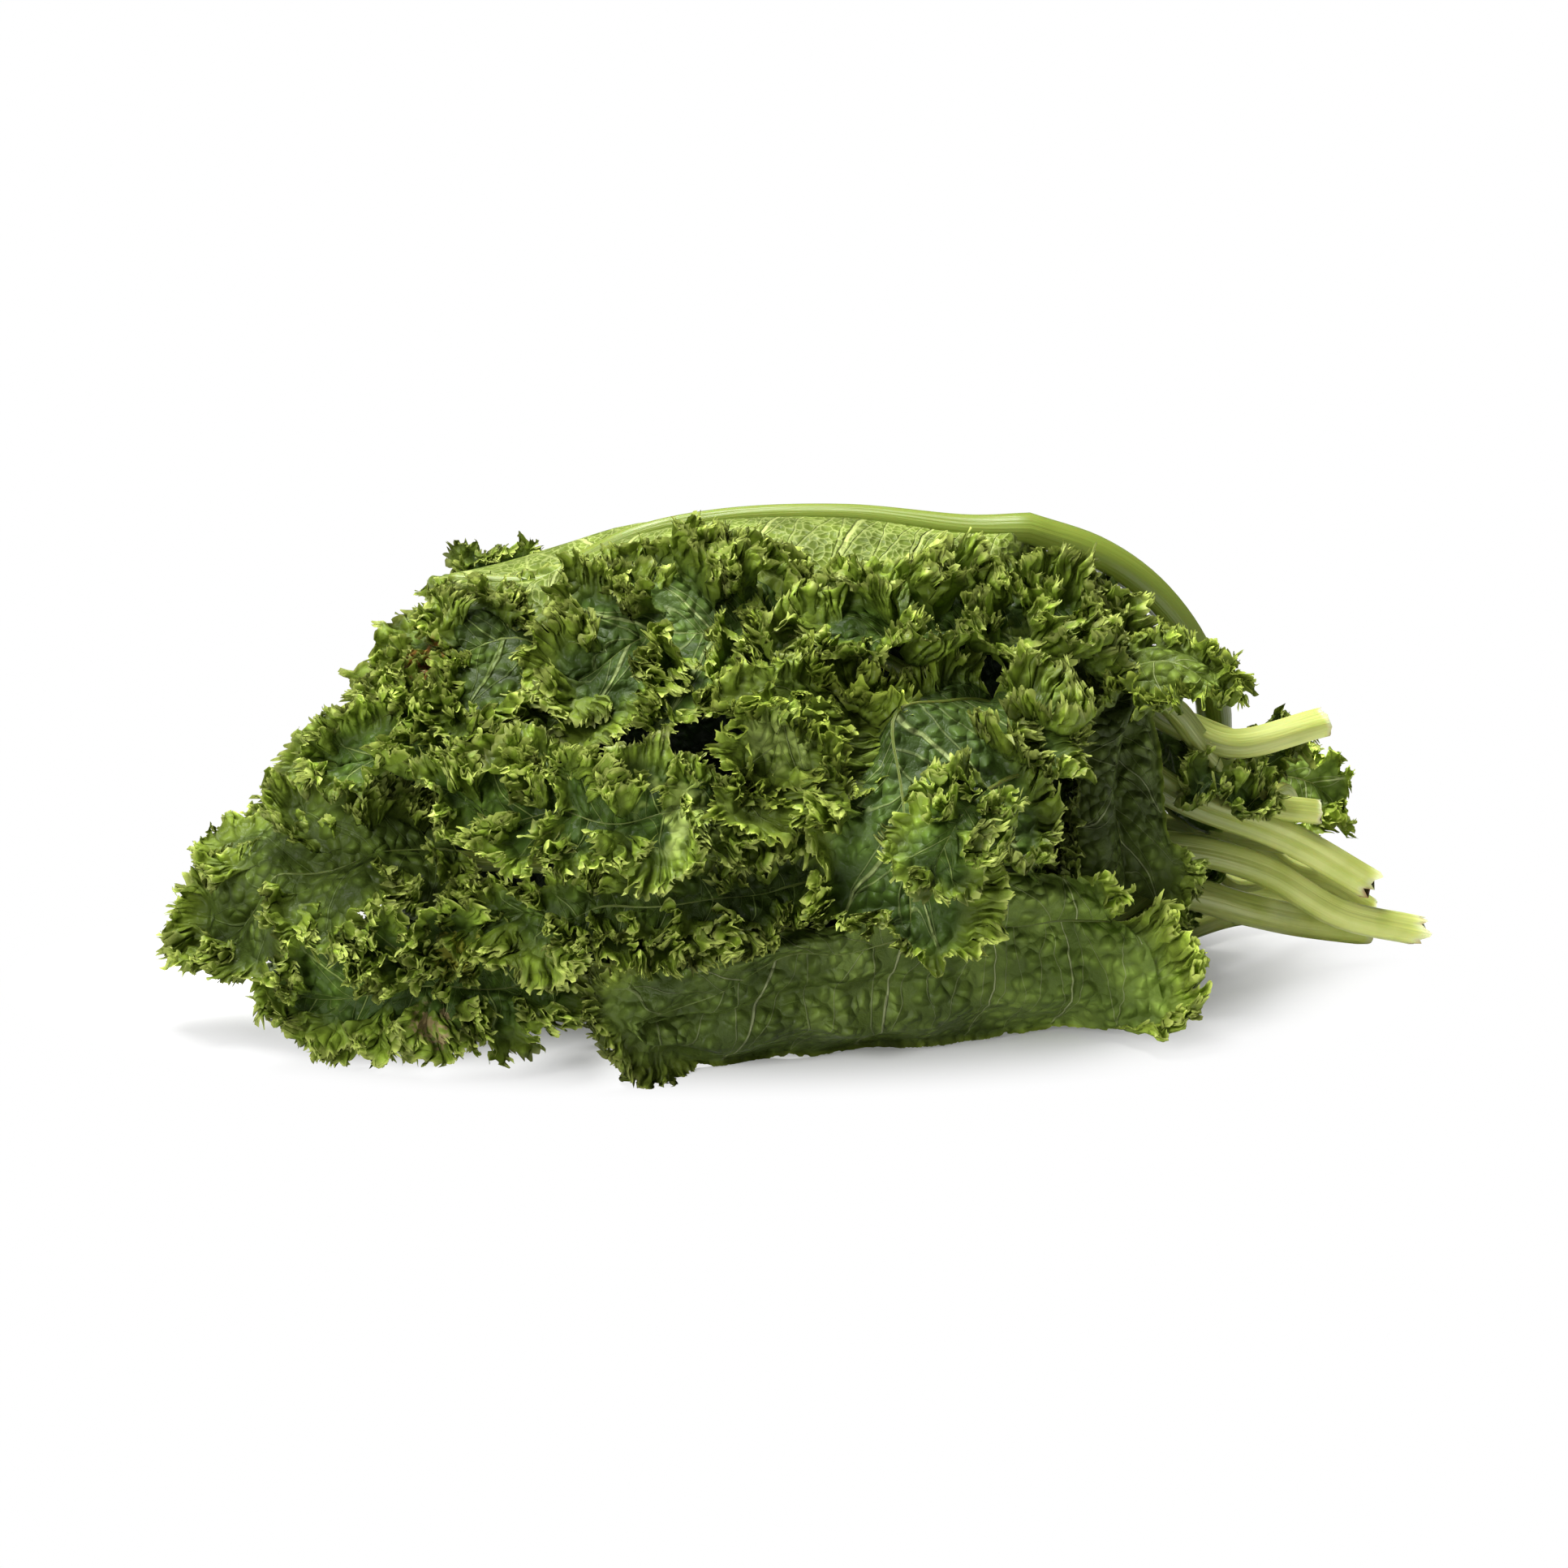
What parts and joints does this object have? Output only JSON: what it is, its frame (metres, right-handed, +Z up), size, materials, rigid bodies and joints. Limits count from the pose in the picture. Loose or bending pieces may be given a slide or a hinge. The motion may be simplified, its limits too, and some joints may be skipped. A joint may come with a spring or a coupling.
{
  "type": "mustard greens bunch",
  "caption": "Bunch of curly mustard greens lying on its side, ruffled leaf blades heaped at one end, bare stalks fanned out at the other.",
  "frame": {"origin": "middle of the bunch's footprint, on the surface that it lies on", "axes": "+X from the leaf tips to the cut stalk ends, +Y from the side that the picture shows to the far side, +Z up"},
  "size_m": [0.4414, 0.2682, 0.1708],
  "materials": {
    "curly_leaf": "soft, slightly waxy ruffled leaf",
    "dark_leaf": "satin, blistered dark green leaf",
    "bright_leaf": "soft, yellow-green ruffled leaf",
    "pale_underside": "satin, pale ribbed underside and stalk"
  },
  "bodies": {
    "root": {"inner_curl_leaf": "curly_leaf", "centre_leaf": "curly_leaf", "front_dark_leaf": "dark_leaf", "ruffle_leaf": "curly_leaf", "mid_leaf": "curly_leaf", "lower_mid_leaf": "curly_leaf", "bottom_left_leaf": "curly_leaf", "left_tip_leaf": "bright_leaf", "left_upper_leaf": "bright_leaf", "upper_left_leaf": "curly_leaf", "centre_top_leaf": "curly_leaf", "upper_mid_leaf": "curly_leaf", "upper_right_leaf": "bright_leaf", "side_dark_leaf": "dark_leaf", "stem_curl_leaf": "curly_leaf", "arch_leaf": "pale_underside", "stem_back_leaf": "dark_leaf", "stem_tuft_leaf": "curly_leaf", "top_left_leaflet": "curly_leaf", "back_upper_leaf": "curly_leaf", "back_mid_leaf": "curly_leaf", "back_left_leaf": "curly_leaf", "back_low_leaf": "dark_leaf", "stem_shade_leaf": "dark_leaf", "mouth_leaf": "dark_leaf", "inner_wall_leaf": "dark_leaf", "core_leaf": "dark_leaf", "core_low_leaf": "dark_leaf"}
  },
  "joints": []
}
